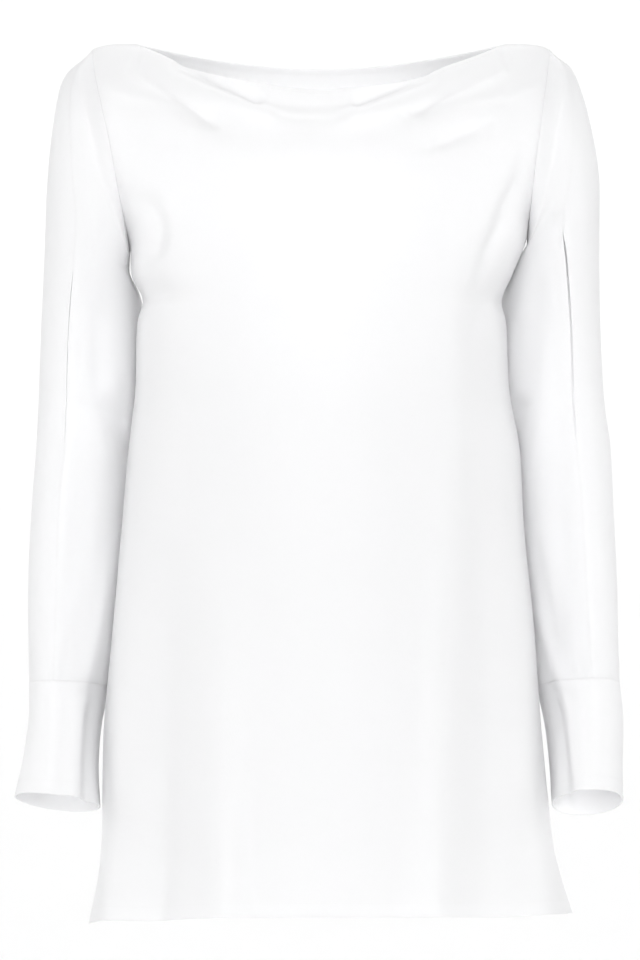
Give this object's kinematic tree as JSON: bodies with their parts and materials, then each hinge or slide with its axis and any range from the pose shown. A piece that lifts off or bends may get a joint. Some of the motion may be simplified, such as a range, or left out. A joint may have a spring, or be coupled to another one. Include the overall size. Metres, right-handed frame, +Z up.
{
  "type": "tunic",
  "caption": "Long-sleeved satin tunic in its worn, hollow form, with a wide softly cowled boat neck, slit overarm seams, deep cuffs and side vents.",
  "frame": {"origin": "midway between the tops of the shoulders, at their height, where the wearer holds the garment up", "axes": "+Z up from hem to shoulders; the front faces -Y; +X to the wearer's left"},
  "size_m": [0.521, 0.2519, 0.7569],
  "materials": {
    "satin": "soft satin",
    "cuff_satin": "soft satin, two layers"
  },
  "bodies": {
    "root": {"front_panel": "satin", "back_panel": "satin", "sleeve_front_right": "satin", "sleeve_back_right": "satin", "sleeve_front_left": "satin", "sleeve_back_left": "satin", "cuff_right": "cuff_satin", "cuff_left": "cuff_satin"}
  },
  "joints": []
}
